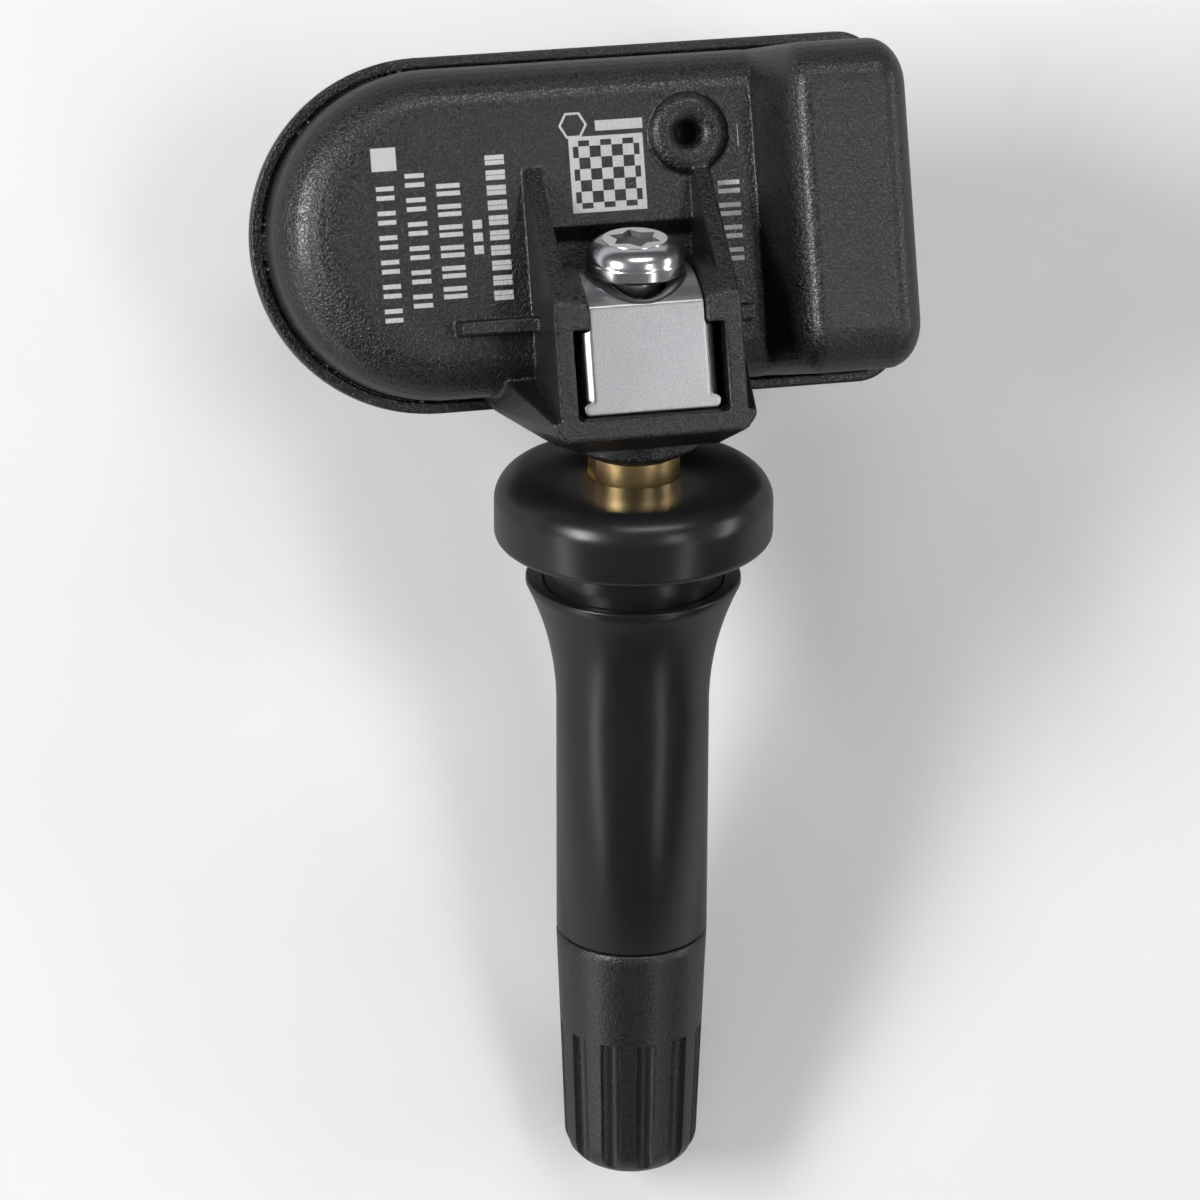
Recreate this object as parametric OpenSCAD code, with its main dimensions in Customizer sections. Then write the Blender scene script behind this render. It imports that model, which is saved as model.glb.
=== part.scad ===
// Snap-in tyre pressure sensor: a moulded sensor housing screwed to a rubber tyre valve.
// The origin is the centre of the rim seat, where the valve's flange lies on the rim.
// +Z is the outward normal of the housing's face, +X runs along the housing to its coil bump,
// and the valve leaves towards -Y, leaning below the plane of the housing.

/* [Valve and housing angle] */
// Angle of the valve below the plane of the housing, in degrees
valve_tilt = 20; // [16:1:24]
// Distance along the valve from the rim seat up to the axis on which the housing tilts
pivot_h = 14.1; // [14:0.05:14.4]
// How far the housing can tilt each way once its screw is loosened, in degrees
tilt_play = 9; // [5:1:9]

/* [Rubber valve body] */
// Radius of the rubber flange inside the wheel
flange_r = 10; // [9.4:0.1:10.4]
// Height of the rubber flange
flange_h = 5; // [4.6:0.1:5.3]
// Rounding of the flange's upper rim
flange_round = 2.1; // [1:0.1:2.4]
// Rounding of the flange's lower rim
flange_under_round = 0.7; // [0.3:0.1:1]
// Radius of the groove that the rim hole closes on
groove_r = 6.45; // [6.2:0.05:6.8]
// Distance from the rim seat to the edge of the lip
groove_w = 2.85; // [2.6:0.05:3.2]
// Radius of the lip that snaps through the rim hole
lip_r = 7.75; // [7.4:0.05:8]
// Thickness of the lip at its edge
lip_t = 0.45; // [0.3:0.05:0.7]
// How far the lip is hollowed behind its edge
lip_hollow = 0.7; // [0.3:0.1:1]
// Radius of the rubber shank
shank_r = 5.55; // [5.4:0.05:5.8]
// Radius of the curve that runs from the lip into the shank
flare_r = 22; // [18:1:26]
// Length of the rubber from the rim seat to the cap
rubber_l = 30.9; // [28:0.1:34]

/* [Brass stem] */
// Radius of the bare brass neck between rubber and housing
neck_r = 3.35; // [3.2:0.05:3.6]
// Distance from the stem's axis to the flat on its neck
neck_flat = 3.05; // [2.9:0.05:3.15]
// Radius of the stem inside the rubber
stem_r = 3; // [2.8:0.05:3.1]
// Outer radius of the thread for the cap
thread_r = 3.85; // [3.8:0.05:3.9]
// Length of the stem that stands out of the rubber
stem_out = 15; // [14.5:0.1:16]
// Radius of the threaded socket for the valve core
core_socket_r = 2.65; // [2.6:0.05:2.7]
// Radius of the air chamber below the core's seat
chamber_r = 2; // [1.9:0.05:2.1]
// Radius of the air passage through the stem
air_r = 1.1; // [0.8:0.1:1.3]
// Width of the air slot beside the fixing screw
air_slot_w = 1.2; // [0.8:0.1:1.4]

/* [Fixing screw] */
// Radius of the screw's threaded shank
screw_r = 1.95; // [1.85:0.05:2]
// Radius of the screw's head
head_r = 3.32; // [3.1:0.02:3.4]
// Height of the cylindrical band of the head
head_band = 1; // [0.6:0.1:1.2]
// Height of the domed part of the head
head_dome = 1.75; // [1.4:0.05:1.9]
// Radius over the points of the star recess
star_r = 1.85; // [1.5:0.05:2]
// Radius at the roots of the star recess
star_root_r = 1.28; // [1:0.02:1.4]
// Depth of the star recess
star_depth = 1.3; // [0.8:0.1:1.6]
// How deep the screw goes into the stem
screw_grip = 5.8; // [4.5:0.1:6]

/* [Valve core] */
// Radius of the core's threaded plug
core_plug_r = 2.6; // [2.5:0.05:2.65]
// Radius of the core's tube
core_tube_r = 1.6; // [1.5:0.05:1.7]
// Bore of the core's tube
core_bore_r = 1.15; // [1:0.05:1.2]
// Radius of the pin
pin_r = 0.5; // [0.4:0.05:0.55]
// Radius of the spring's wire
spring_wire_r = 0.14; // [0.1:0.01:0.16]
// Turns of the spring
spring_turns = 7; // [5:1:8]
// Length of the spring with the core shut
spring_l = 4.8; // [4.4:0.1:5.2]

/* [Cap] */
// Radius of the cap at its open end
cap_r = 5.57; // [5.45:0.01:5.8]
// Radius of the cap where its end starts to round over
cap_end_r = 4.95; // [4.6:0.05:5.2]
// Length of the cap
cap_l = 19.2; // [18.6:0.1:20]
// Rounding of the cap's closed end
cap_round = 2.6; // [1.5:0.1:3]
// Number of grip grooves
groove_n = 12; // [10:1:14]
// Width of each grip groove
grip_w = 1.45; // [1:0.05:1.6]
// Depth of each grip groove
grip_d = 0.55; // [0.3:0.05:0.6]
// Plain length of the cap before the grooves begin
cap_plain = 7.6; // [6:0.1:9]
// Gap between the cap's edge and the rubber
cap_gap = 0.12; // [0.08:0.01:0.2]
// Thickness of the cap's wall at its mouth
cap_wall = 1.3; // [1.1:0.05:1.5]

/* [Housing outline] */
// Radius of the round end of the base plate
plate_end_r = 12.75; // [12.5:0.05:13]
// Distance from the valve's plane to the centre of the round end
end_back = 12.7; // [12.4:0.1:14]
// Distance from the valve's plane to the straight end of the base plate
plate_right = 21.6; // [21.2:0.1:23]
// Distance from the rim seat to the near long edge of the base plate
plate_low = 9.7; // [9.6:0.1:10]
// Corner radius of the base plate at its straight end
plate_corner = 3.2; // [2.6:0.1:4]
// Width of the ledge of the base plate round the cover
ledge = 1; // [0.8:0.05:1.2]
// Thickness of the base plate
plate_t = 1.2; // [1:0.1:1.5]

/* [Housing cover] */
// Height of the cover's flat face above the rim seat's centre
face_z = 3; // [2.8:0.05:3.2]
// Height of the cover's upright side wall
side_h = 3.2; // [3:0.1:3.4]
// Height of the rounded shoulder above the side wall
shoulder_h = 3.6; // [3.4:0.1:3.8]
// Width of the rounded shoulder along the long sides
shoulder_w = 3.4; // [2.6:0.1:3.8]
// Width of the rounded shoulder at the round end
shoulder_end_w = 4.7; // [3.6:0.1:5]
// Thickness of the cover's walls
wall = 1.2; // [1:0.05:1.3]

/* [Coil bump] */
// Height of the bump's top above the rim seat's centre
bump_top = 9.3; // [8.8:0.1:9.8]
// Where the bump's leaning inner wall would meet the base plate
bump_left = 8.5; // [8.2:0.1:8.8]
// Lean of the bump's inner wall over its height
bump_draft = 2.6; // [2.2:0.1:2.8]
// Rounding of the bump's inner top edge
bump_round_in = 2; // [1.5:0.1:2.4]
// Rounding of the bump's outer top edge
bump_round_out = 2.5; // [2:0.1:3]
// Hollow fillet where the bump rises out of the face
bump_foot = 0.8; // [0.4:0.1:1.2]

/* [Clip pocket] */
// Half of the clear width between the two cheeks
cheek_in = 5.4; // [5.3:0.05:5.6]
// Thickness of each cheek
cheek_t = 1.3; // [1.1:0.05:1.5]
// Height of the cheeks' front edges above the rim seat's centre
cheek_front = 10.4; // [10.35:0.05:10.8]
// Distance from the rim seat to the tips of the cheeks
cheek_tip = 26.7; // [26:0.1:27.5]
// Distance from the rim seat to the top of the cheeks' front edges
cheek_apex = 16.7; // [16.4:0.1:17]
// Distance up the valve to the pocket floor
floor_in = 11.75; // [11.6:0.05:11.9]
// Distance up the valve to the underside of the pocket
floor_out = 8.75; // [8.6:0.05:9]
// Half width of the pocket's chin at the front
chin_half = 6.95; // [6.85:0.05:7.1]
// Half width of the chin's wings at the housing's side
wing_half = 9.7; // [9.2:0.1:10]
// Radius of the ball boss under the pocket
boss_r = 4.88; // [4.8:0.02:5]
// Radius of the ball surface on which the stem's end tilts
ball_r = 8.13; // [8.05:0.01:8.3]
// Height of the two cross ribs above the face
rib_h = 2.3; // [1.5:0.1:2.6]
// Thickness of the thin cross rib
rib_thin = 0.95; // [0.7:0.05:1.1]
// Thickness of the thick cross rib
rib_thick = 1.1; // [0.9:0.05:1.3]
// Length of the thin cross rib beyond the cheek
rib_l = 5.6; // [4:0.1:6]

/* [Clip] */
// Radius of the clip's arch over the tilt axis
clip_r = 6.05; // [5.9:0.05:6.2]
// Depth of the coined dish that the screw's head lies in
dish_d = 0.1; // [0.06:0.02:0.16]
// Radius of the coined dish
dish_r = 3.55; // [3.45:0.05:3.7]
// Height of the clip's front face above the rim seat's centre
clip_face = 9.9; // [9.8:0.05:10]
// Thickness of the clip's steel
clip_t = 0.9; // [0.8:0.05:1]
// Half width of the clip's arch
clip_half = 4.15; // [4:0.05:4.2]
// Half width of the clip's front plate
clip_plate_half = 4.8; // [4.6:0.05:4.9]
// Depth of the clip's side returns
clip_return = 3.2; // [2:0.1:3.6]
// Distance from the rim seat to the shoulder where the clip widens
clip_shoulder = 14.95; // [14.8:0.05:15.2]

/* [Pressure port] */
// Distance of the port from the valve's plane
port_x = 5.4; // [5.2:0.1:5.8]
// Distance of the port from the housing's long middle line
port_side = 5.95; // [5.7:0.05:6.2]
// Radius of the port's hole
port_hole_r = 0.8; // [0.6:0.05:1]
// Radius of the port's raised ring at the face
port_ring_r = 2.85; // [2.6:0.05:3]
// Height of the port's raised ring
port_ring_h = 0.7; // [0.5:0.05:0.9]

/* [Electronics] */
// Radius of the coin cell
cell_r = 10; // [9.8:0.1:10.1]
// Thickness of the coin cell
cell_t = 3.2; // [3:0.1:3.2]
// Thickness of the circuit board
board_t = 0.8; // [0.6:0.1:1]
// Thickness of the cell's welded tabs
tab_t = 0.15; // [0.1:0.05:0.2]
// Side of the square pressure chip
chip_w = 5; // [4.6:0.1:5.4]
// Height of the pressure chip
chip_h = 1.6; // [1.4:0.1:1.7]
// Length of the coil's ferrite over its two flanges
coil_l = 11.6; // [10.6:0.2:12.6]
// Width of the ferrite's flanges
coil_w = 3.4; // [3:0.1:3.8]
// Thickness of the wound coil's wall
winding_t = 0.4; // [0.3:0.05:0.5]

/* [Hidden] */

$fn = 96;

// Clearances
run = 0.03;      // between surfaces that slide on each other
fit = 0.05;      // between pieces that only locate each other
eps = 0.01;      // overlap of cutters with what they cut

// The tilt axis, in the frame of the housing
pivot_y = pivot_h * cos(valve_tilt);
pivot_z = pivot_h * sin(valve_tilt);

// Heights in the housing
side_top = face_z - shoulder_h;
plate_top = side_top - side_h;
plate_bottom = plate_top - plate_t;
mid_y = plate_low + plate_end_r;
port_y = mid_y + port_side;
ceiling = face_z - wall;

// Stations along the valve, counted outwards from the rim seat
tip_s = rubber_l + stem_out;
neck_end_s = -pivot_h + sqrt(pow(ball_r + run, 2) - pow(neck_r, 2));
head_s = -pivot_h - clip_r + dish_d - 0.02;
head_top_s = head_s - head_band - head_dome;
screw_tip_s = neck_end_s + screw_grip;

// A point given by its station on the valve and its distance in front of it, in the housing's Y-Z plane
function side_point(s, front) = [
    -s * cos(valve_tilt) - front * sin(valve_tilt),
    -s * sin(valve_tilt) + front * cos(valve_tilt)
];

// Puts children that stand on the rim seat along local Z, outwards, onto the valve's axis
module on_valve() {
    rotate([90 + valve_tilt, 0, 0]) children();
}

// Extrudes a profile drawn in the housing's Y-Z plane to a given half width along X
module across(half) {
    translate([-half, 0, 0]) rotate([90, 0, 90]) linear_extrude(2 * half) children();
}

// A slot of two round ends and straight sides, cut along the valve
module tilt_slot(r, reach, from_s, to_s) {
    on_valve() translate([0, 0, from_s]) {
        for (side = [-1, 1])
            translate([0, side * reach, 0]) cylinder(r = r, h = to_s - from_s);
        translate([-r, -reach, 0]) cube([2 * r, 2 * reach, to_s - from_s]);
    }
}

// Rubber

// Points of an arc in a profile
function arc_points(c, r, from, to, steps) =
    [for (i = [0:steps]) c + r * [cos(from + (to - from) * i / steps), sin(from + (to - from) * i / steps)]];

// Where brass and rubber are bonded: the stem's outer outline as radius against station
collars = [1.5, 20];
collar_w = 2.5;
bond = concat(
    [[neck_r, -flange_h], [neck_r, -2], [stem_r, -2]],
    [for (s = collars) each [[stem_r, s], [neck_r, s], [neck_r, s + collar_w], [stem_r, s + collar_w]]],
    [[stem_r, rubber_l - 2], [neck_r, rubber_l - 2], [neck_r, rubber_l]]
);

// Outline of the rubber body: flange, groove, lip, flare and shank
flare_s = groove_w + lip_t;
flare_out = flare_s + sqrt(pow(flare_r, 2) - pow(flare_r - (lip_r - shank_r), 2));
flare_turn = acos((flare_r - (lip_r - shank_r)) / flare_r);
rubber_outline = concat(
    arc_points([flange_r - flange_round, -flange_h + flange_round], flange_round, -90, 0, 8),
    arc_points([flange_r - flange_under_round, -flange_under_round], flange_under_round, 0, 90, 4),
    [[groove_r, 0], [groove_r, groove_w + lip_hollow], [lip_r, groove_w]],
    arc_points([shank_r + flare_r, flare_out], flare_r, 180 + flare_turn, 180, 12),
    [[shank_r, rubber_l]]
);

module valve_rubber() {
    color("#1b1b1d") on_valve() rotate_extrude()
        polygon(concat(rubber_outline, [for (i = [len(bond) - 1:-1:0]) bond[i]]));
}

// Brass stem

module valve_stem() {
    seat_s = tip_s - 9.5;
    color("#b58a3e") on_valve() difference() {
        union() {
            rotate_extrude() difference() {
                union() {
                    polygon(concat(
                        [[0, neck_end_s - 2], [neck_r, neck_end_s - 2]], bond, [[0, rubber_l]]
                    ));
                    translate([0, rubber_l - 1]) square([3.3, stem_out + 0.5]);
                    translate([0, rubber_l + 1.2]) square([thread_r, stem_out - 1.8]);
                    translate([0, tip_s - 0.6]) polygon([[0, 0], [thread_r, 0], [3.3, 0.6], [0, 0.6]]);
                }
                // The hollow end that rides on the ball boss
                translate([0, -pivot_h]) circle(r = ball_r + run, $fn = 180);
                // Socket of the fixing screw
                translate([0, neck_end_s - 2]) square([screw_r + fit, screw_grip + 2.6]);
                translate([0, neck_end_s]) square([air_r, rubber_l]);
                translate([0, seat_s - 12]) square([chamber_r, 12 + eps]);
                translate([0, seat_s])
                    polygon([[0, 0], [chamber_r, 0], [core_socket_r, 1.1], [0, 1.1]]);
                translate([0, seat_s + 1.1 - eps]) square([core_socket_r, 9]);
            }
        }
        // Flats for a spanner on the neck
        for (side = [-1, 1])
            translate([side * (neck_flat + 2), 0, neck_end_s - 1])
                cube([4, 2 * neck_r, 2 * (-flange_h - neck_end_s + 1)], center = true);
        // Air slot beside the screw, open under the boss at the back
        translate([-air_slot_w / 2, -screw_r - 0.7, neck_end_s - 1])
            cube([air_slot_w, screw_r + 0.7, screw_grip + 1.6]);
        translate([-air_slot_w / 2, -neck_r - 1, neck_end_s - 1]) cube([air_slot_w, neck_r + 1, 1.6]);
    }
}

// Fixing screw

module fixing_screw() {
    color("#d9dadd") on_valve() difference() {
        rotate_extrude() difference() {
            union() {
                translate([0, head_s - head_band]) square([head_r, head_band]);
                translate([0, head_s - head_band]) intersection() {
                    union() {
                        translate([head_r - head_dome, 0]) circle(r = head_dome);
                        translate([0, -head_dome]) square([head_r - head_dome, head_dome]);
                    }
                    translate([0, -head_dome]) square([head_r, head_dome]);
                }
                translate([0, head_s - eps]) square([screw_r, screw_tip_s - head_s - 0.5]);
                translate([0, screw_tip_s - 0.6])
                    polygon([[0, 0], [screw_r, 0], [screw_r - 0.5, 0.6], [0, 0.6]]);
            }
        }
        // Six-pointed recess
        translate([0, 0, head_top_s - eps]) linear_extrude(star_depth)
            polygon([for (i = [0:11])
                let (r = i % 2 == 0 ? star_r : star_root_r) [r * sin(i * 30), r * cos(i * 30)]]);
    }
}

// Valve core

core_top_s = tip_s - 0.8;
core_seat_s = tip_s - 9.5;
core_foot_s = core_seat_s - 4.2;
collar_s = core_foot_s + 0.8 + spring_l;
pin_head_room = 1.5;

module core_barrel() {
    color("#c39a4a") on_valve() difference() {
        rotate_extrude() difference() {
            union() {
                translate([0, core_top_s - 4.4]) square([core_plug_r, 4.4]);
                translate([0, core_foot_s]) square([core_tube_r, core_top_s - core_foot_s - 4.3]);
            }
            // Bore for the spring, with a ledge left at its foot
            translate([0, core_foot_s + 0.8]) square([core_bore_r, core_top_s - core_foot_s - 4]);
            translate([0, core_foot_s - 1]) square([pin_r + 0.25, 3]);
            // Guide for the pin and, above it, room for the pin's head
            translate([0, core_top_s - 4]) square([pin_r + run + 0.03, 5]);
            translate([0, core_top_s - pin_head_room]) square([pin_r + 0.35, pin_head_room + 1]);
        }
        // Windows each side of the bridge that guides the pin
        for (side = [-1, 1]) translate([side * 1.75, 0, core_top_s])
            cube([1.2, 6, 4.4], center = true);
    }
}

module core_gasket() {
    color("#e8e4da") on_valve() rotate_extrude() difference() {
        translate([0, core_seat_s - 0.2])
            polygon([[0, 0], [1.85, 0], [2.1, 0.6], [2.3, 1.3], [0, 1.3]]);
        translate([0, core_seat_s - 1]) square([core_tube_r, 3]);
    }
}

// A helix swept round the valve's axis with a small round wire
module core_spring() {
    coil_r = core_bore_r - spring_wire_r - 0.05;
    start_s = core_foot_s + 0.8 + spring_wire_r;
    end_s = collar_s - spring_wire_r;
    steps = 16 * spring_turns;
    sides = 8;
    points = [for (i = [0:steps], k = [0:sides - 1])
        let (turn = i * 22.5, a = k * 360 / sides, r = coil_r + spring_wire_r * cos(a))
        [r * cos(turn), r * sin(turn), start_s + (end_s - start_s) * i / steps + spring_wire_r * sin(a)]];
    skin = [for (i = [0:steps - 1], k = [0:sides - 1])
        let (a = i * sides + k, b = i * sides + (k + 1) % sides)
        [a, b, b + sides, a + sides]];
    ends = [[for (k = [sides - 1:-1:0]) k], [for (k = [0:sides - 1]) steps * sides + k]];
    color("#b9bcc2") on_valve() polyhedron(points, concat(skin, ends), convexity = 10);
}

module core_pin() {
    color("#c39a4a") on_valve() rotate_extrude() union() {
        translate([0, core_foot_s - 1.2]) square([pin_r, core_top_s - core_foot_s + 1.6]);
        translate([0, core_top_s + 0.2]) square([pin_r + 0.25, 0.4]);
        translate([0, collar_s]) square([core_bore_r - 0.1, 0.5]);
    }
}

module core_cup() {
    color("#c39a4a") on_valve() rotate_extrude() difference() {
        translate([pin_r, core_foot_s - 1.7]) square([core_tube_r + 0.1 - pin_r, 1.2]);
        translate([pin_r, core_foot_s - 1.1]) square([core_tube_r - 0.1 - pin_r, 1]);
    }
}

module core_cup_seal() {
    color("#242424") on_valve() rotate_extrude()
        translate([pin_r, core_foot_s - 1.1]) square([core_tube_r - 0.1 - pin_r, 1.1 - 0.02]);
}

// Cap

module valve_cap() {
    mouth_s = rubber_l + cap_gap;
    end_s = mouth_s + cap_l;
    round_s = end_s - cap_round;
    seal_s = tip_s + 0.8;
    color("#1d1d20") on_valve() difference() {
        rotate_extrude() difference() {
            union() {
                polygon([
                    [0, mouth_s], [cap_r - 0.15, mouth_s], [cap_r, mouth_s + 0.15],
                    [cap_end_r, round_s], [0, round_s]
                ]);
                intersection() {
                    translate([0, round_s]) square([cap_end_r, cap_round]);
                    union() {
                        translate([cap_end_r - cap_round, round_s]) circle(r = cap_round);
                        translate([0, round_s]) square([cap_end_r - cap_round, cap_round]);
                    }
                }
            }
            // Threaded bore and its wider mouth
            translate([0, mouth_s - 1]) square([thread_r + fit, seal_s - mouth_s + 1]);
            translate([0, mouth_s - 1]) square([cap_r - cap_wall, 2.2]);
        }
        // Grip grooves with round floors and square ends
        for (i = [0:groove_n - 1]) rotate([0, 0, (i - 0.4) * 360 / groove_n])
            grip_groove(mouth_s + cap_plain, end_s);
    }
}

// One groove: a cutter that leans in with the cap's taper and runs out over its end
module grip_groove(from_s, to_s) {
    lean = atan((cap_r - cap_end_r) / (cap_l - cap_round));
    cutter_r = (pow(grip_w / 2, 2) + pow(grip_d, 2)) / (2 * grip_d);
    start_r = cap_r - (cap_r - cap_end_r) * cap_plain / (cap_l - cap_round);
    translate([0, start_r + cutter_r - grip_d, from_s]) rotate([lean, 0, 0])
        cylinder(r = cutter_r, h = to_s - from_s + 1, $fn = 32);
}

module cap_seal() {
    color("#3a3a3a") on_valve() rotate_extrude()
        translate([2.85, tip_s + 0.02]) square([thread_r - 2.9, 0.8 - 0.04]);
}

// Housing cover

// Plan of the base plate, drawn inwards by inset
module plan(inset) {
    r = plate_end_r - inset;
    corner = max(plate_corner - inset, 0.4);
    right = plate_right - inset;
    translate([-end_back, mid_y]) circle(r = r);
    translate([-end_back, mid_y - r]) square([right - corner + end_back, 2 * r]);
    translate([-end_back, mid_y - r + corner]) square([right + end_back, 2 * (r - corner)]);
    for (side = [-1, 1]) translate([right - corner, mid_y + side * (r - corner)]) circle(r = corner);
}

// One slice of the shoulder: drawn in by in_side along the sides and in_end at the round end
module shoulder_slice(z, in_side, in_end, right) {
    r = plate_end_r - ledge;
    translate([0, 0, z]) linear_extrude(0.01) {
        translate([-end_back, mid_y]) scale([(r - in_end) / (r - in_side), 1]) circle(r = r - in_side, $fn = 72);
        translate([-end_back, mid_y - r + in_side]) square([right + end_back, 2 * (r - in_side)]);
    }
}

// The low part of the cover: its upright side wall and the rounded shoulder above it
module low_shoulder() {
    hull() {
        shoulder_slice(plate_top, 0, 0, bump_left + 2);
        for (a = [0:11.25:90])
            shoulder_slice(
                side_top + shoulder_h * sin(a) - 0.01, shoulder_w * (1 - cos(a)),
                shoulder_end_w * (1 - cos(a)), bump_left + 2
            );
    }
}

// The bump for the coil: upright walls, rounded over on all sides
module bump_body() {
    half = plate_end_r - ledge;
    left = bump_left + bump_draft + bump_round_in;
    right = plate_right - ledge - bump_round_out;
    hull() for (side = [-1, 1]) {
        y = mid_y + side * (half - shoulder_w);
        translate([left, y, bump_top - shoulder_h])
            scale([bump_round_in, shoulder_w, shoulder_h]) sphere(r = 1, $fn = 32);
        translate([right, y, bump_top - shoulder_h])
            scale([bump_round_out, shoulder_w, shoulder_h]) sphere(r = 1, $fn = 32);
        translate([left - bump_draft, y, plate_top])
            scale([bump_round_in, shoulder_w, 1]) cylinder(r = 1, h = 1, $fn = 32);
        translate([right, y, plate_top])
            scale([bump_round_out, shoulder_w, 1]) cylinder(r = 1, h = 1, $fn = 32);
    }
}

// Hollow fillet along the foot of the bump
module bump_fillet() {
    half = plate_end_r - ledge - shoulder_w;
    rise = (face_z + bump_foot - plate_top - 1) / (bump_top - shoulder_h - plate_top - 1);
    translate([bump_left + bump_draft * rise - bump_foot + 0.05, mid_y + half, face_z]) rotate([90, 0, 0])
        linear_extrude(2 * half) difference() {
            translate([0, -0.5]) square([bump_foot + 1, bump_foot + 0.5]);
            translate([0, bump_foot + 0.04]) circle(r = bump_foot);
        }
}

// Side view of one cheek, from its tip down to the underside of the pocket
module cheek_profile() {
    under_front = side_point(-floor_out - 1.5, 5.4);
    under_back = side_point(-floor_out - 1, -5.2);
    front_low = side_point(-floor_out - 1.75, 0);
    apex_round = 1;
    nose_y = front_low[0] - (cheek_front - front_low[1]) * tan(valve_tilt);
    polygon([
        [cheek_tip, face_z], [cheek_apex + 0.75, cheek_front - 0.42],
        [cheek_apex + 0.35, cheek_front - 0.14], [cheek_apex - 0.15, cheek_front],
        [nose_y, cheek_front], under_front, under_back,
        [plate_low + ledge + wall - 0.1, side_top - 1], [plate_low + ledge + wall - 0.1, ceiling + 0.2],
        [cheek_tip, face_z - 0.6]
    ]);
}

module cheeks() {
    for (side = [-1, 1]) translate([side * (cheek_in + cheek_t / 2), 0, 0])
        across(cheek_t / 2) cheek_profile();
}

// Floor of the pocket: a slab square to the valve, with a chamfered chin and wings out to the side
module pocket_floor() {
    chin_s = -10.42;
    chin_front = (cheek_front + chin_s * sin(valve_tilt)) / cos(valve_tilt);
    back = -7.7;
    difference() {
        on_valve() hull() {
            floor_slice(-floor_in, [
                [chin_half, chin_front + 1.3], [chin_half - 0.1, 5.3], [wing_half - 1.08, -2.91],
                [wing_half, back]
            ]);
            floor_slice(chin_s, [
                [chin_half - 0.6, chin_front], [chin_half + 0.05, chin_front - 1.2],
                [chin_half + 0.2, 3.5], [wing_half - 0.7, -4], [wing_half, back]
            ]);
            floor_slice(-floor_out - 0.01, [
                [4.9, 5.3], [chin_half - 0.4, 3.2], [wing_half - 0.4, -4.38], [wing_half, back]
            ]);
        }
        translate([-20, -20, cheek_front]) cube([40, 60, 20]);
        translate([-20, 0, plate_top - 20]) cube([40, 60, 20]);
    }
}

// A thin slice across the valve from its half outline, given as half width and distance in front
module floor_slice(s, half) {
    translate([0, 0, s]) linear_extrude(0.01) polygon(concat(
        half, [for (i = [len(half) - 1:-1:0]) [-half[i][0], half[i][1]]]
    ));
}

// The drum that carries the clip's arch, joined to the pocket floor and to the cover's face
module drum() {
    r = clip_r - clip_t - fit;
    flank = r - 0.05;
    across(clip_half - 0.35) intersection() {
        union() {
            translate([pivot_y, pivot_z]) circle(r = r);
            polygon([
                side_point(-pivot_h, flank), side_point(-pivot_h, -flank),
                side_point(-floor_in + 0.5, -flank), side_point(-floor_in + 0.5, flank)
            ]);
            translate([pivot_y - flank + 2, face_z - 1.5]) square([2 * flank - 2, pivot_z - face_z + 1.5]);
        }
        translate([0, face_z - 2]) square([40, clip_face - clip_t - fit - face_z + 2]);
    }
}

// Rails beside the clip's arch, which hold the clip's shoulders down
module rails() {
    w = cheek_in - clip_half - fit;
    for (side = [-1, 1]) translate([side * (cheek_in - w / 2 + 0.1), 0, 0]) across(w / 2 + 0.1)
        intersection() {
            translate([pivot_y, pivot_z]) circle(r = clip_r + 0.55);
            translate([clip_shoulder + fit, face_z - 1.05]) square([20, cheek_front - face_z + 1.05]);
        }
}

// The well behind the clip, cut into the cover's face between the cheeks
module well() {
    near = pivot_y + clip_r - clip_t - fit;
    across(cheek_in + 0.05) polygon([
        [near, face_z + 0.3], [22.4, face_z + 0.3], [22.35, face_z], [21.3, face_z - 1.1],
        [near, face_z - 1.1]
    ]);
}

// Rounded ring round the pressure port; its foot runs down over the shoulder
module port_ring() {
    middle = (port_ring_r + port_hole_r) / 2 + 0.03;
    half = (port_ring_r - port_hole_r) / 2 - 0.03;
    translate([port_x, port_y, face_z]) rotate_extrude() polygon(concat(
        [[0, -1], [port_ring_r + 0.75, -1]],
        [for (a = [0:15:180]) [middle + half * cos(a), 0.02 + port_ring_h * sin(a)]],
        [[0, 0.02]]
    ));
}

module ribs() {
    y = clip_shoulder + 0.25;
    translate([-cheek_in - cheek_t - rib_l, y, face_z - 1]) cube([rib_l + 0.5, rib_thin, rib_h + 1]);
    translate([cheek_in + cheek_t - 0.5, y - 0.3, face_z - 1])
        cube([bump_left - cheek_in - cheek_t + 1, rib_thick, rib_h + 1]);
}

// Posts that carry the board, each ending in a pin through it
posts = [[1.5, 14.3], [8.6, 14.3], [9.6, 31.3]];
module board_posts() {
    for (p = posts) translate([p[0], p[1], 0]) {
        translate([0, 0, board_top]) cylinder(r = 1.2, h = ceiling - board_top + 0.3);
        translate([0, 0, board_top - board_t - 0.5]) cylinder(r = 0.55, h = board_t + 1);
    }
}

// Inside of the cover, for cell, board and coil
module cavity() {
    translate([0, 0, plate_top - 1]) linear_extrude(side_top - plate_top + 1.8)
        plan(ledge + wall);
    translate([0, 0, side_top]) linear_extrude(ceiling - side_top) plan(ledge + wall + 1.3);
    inner = bump_left + bump_draft + 1.2;
    translate([inner, mid_y - 9.4, side_top])
        cube([plate_right - ledge - inner - 1.9, 18.8, bump_top - wall - side_top]);
}

// What stays solid inside the cavity: the well's floor and the board's posts
module cavity_keep() {
    translate([-cheek_in - 1, pivot_y, face_z - 2]) cube([2 * cheek_in + 2, 22.35 - pivot_y + 0.9, 1.2]);
    translate([-wing_half, plate_low + ledge + 0.6, side_top - 1]) cube([2 * wing_half, 0.8, 3]);
    board_posts();
}

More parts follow.
